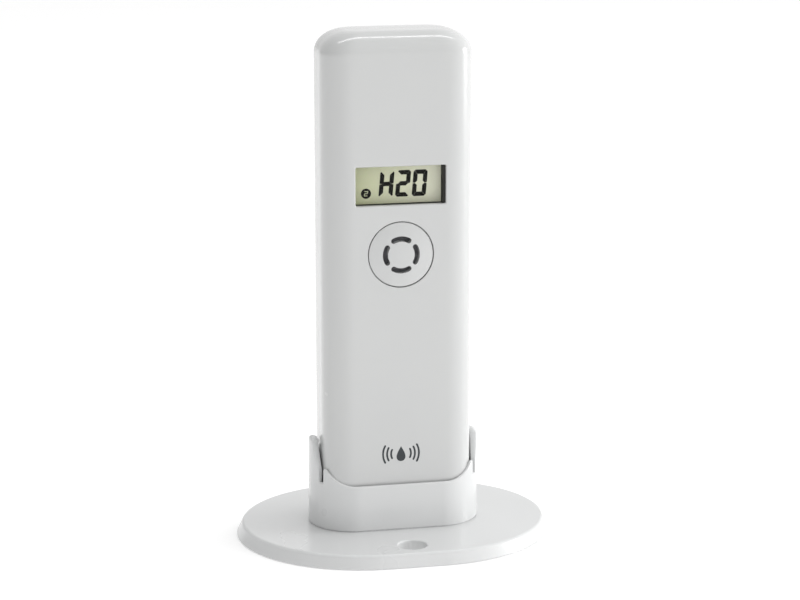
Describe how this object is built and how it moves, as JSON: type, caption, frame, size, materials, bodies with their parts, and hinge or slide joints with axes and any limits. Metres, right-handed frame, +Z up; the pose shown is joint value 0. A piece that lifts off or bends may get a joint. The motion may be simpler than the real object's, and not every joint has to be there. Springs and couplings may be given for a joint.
{
  "type": "wireless climate transmitter on oval stand",
  "caption": "Slim upright wireless temperature and water-alarm transmitter with small display and slotted sensor cover, held in a clip cup on an oval foot.",
  "frame": {"origin": "middle of the foot, on the surface it stands on, below the axis of the casing", "axes": "+Z up, the display faces -Y, +X to the right seen from the front"},
  "size_m": [0.0854, 0.066, 0.137],
  "materials": {
    "case_plastic": "glossy moulded ABS",
    "stand_plastic": "satin moulded ABS",
    "clear_window": "clear acrylic",
    "display": "reflective liquid crystal glass",
    "inner_plastic": "moulded",
    "grey_plastic": "moulded",
    "black_plastic": "moulded",
    "black_rubber": "foam and silicone rubber",
    "pad_rubber": "soft rubber",
    "board": "solder-masked laminate",
    "steel": "nickel plated",
    "copper_wire": "enamelled wire",
    "cell_jacket": "printed jacket"
  },
  "bodies": {
    "stand": {"foot_plate": "stand_plastic", "foot_pads": "pad_rubber", "foot_screws": "steel", "holder_cup": "stand_plastic"},
    "transmitter": {"front_case": "case_plastic", "rear_case": "case_plastic", "case_screws": "steel", "lcd_window": "clear_window", "lcd_glass": "display", "lcd_frame": "inner_plastic", "contact_strips": "black_rubber", "sensor_grille": "case_plastic", "dust_filter": "black_rubber", "sensor_gasket": "black_rubber", "humidity_sensor": "black_plastic", "circuit_board": "board", "board_screws": "steel", "controller_chip": "black_plastic", "radio_module": "steel", "antenna_coil": "copper_wire", "probe_socket": "black_plastic", "button_switch": "black_plastic", "cell_left": "cell_jacket", "cell_right": "cell_jacket", "contact_springs": "steel", "link_contact": "steel", "plus_terminal": "steel", "minus_terminal": "steel"},
    "rear_cover": {"battery_cover": "case_plastic"},
    "send_key": {"send_button": "grey_plastic"}
  },
  "joints": [
    {"name": "transmitter_lift", "type": "slide", "parent": "stand", "child": "transmitter", "axis": [0, 0, 1], "range_m": [0, 0.04]},
    {"name": "cover_pull", "type": "slide", "parent": "transmitter", "child": "rear_cover", "axis": [0, 1, 0], "range_m": [0, 0.012]},
    {"name": "send_press", "type": "slide", "parent": "transmitter", "child": "send_key", "axis": [0, -1, 0], "range_m": [0, 0.0005], "stiffness_N_per_m": 800}
  ]
}
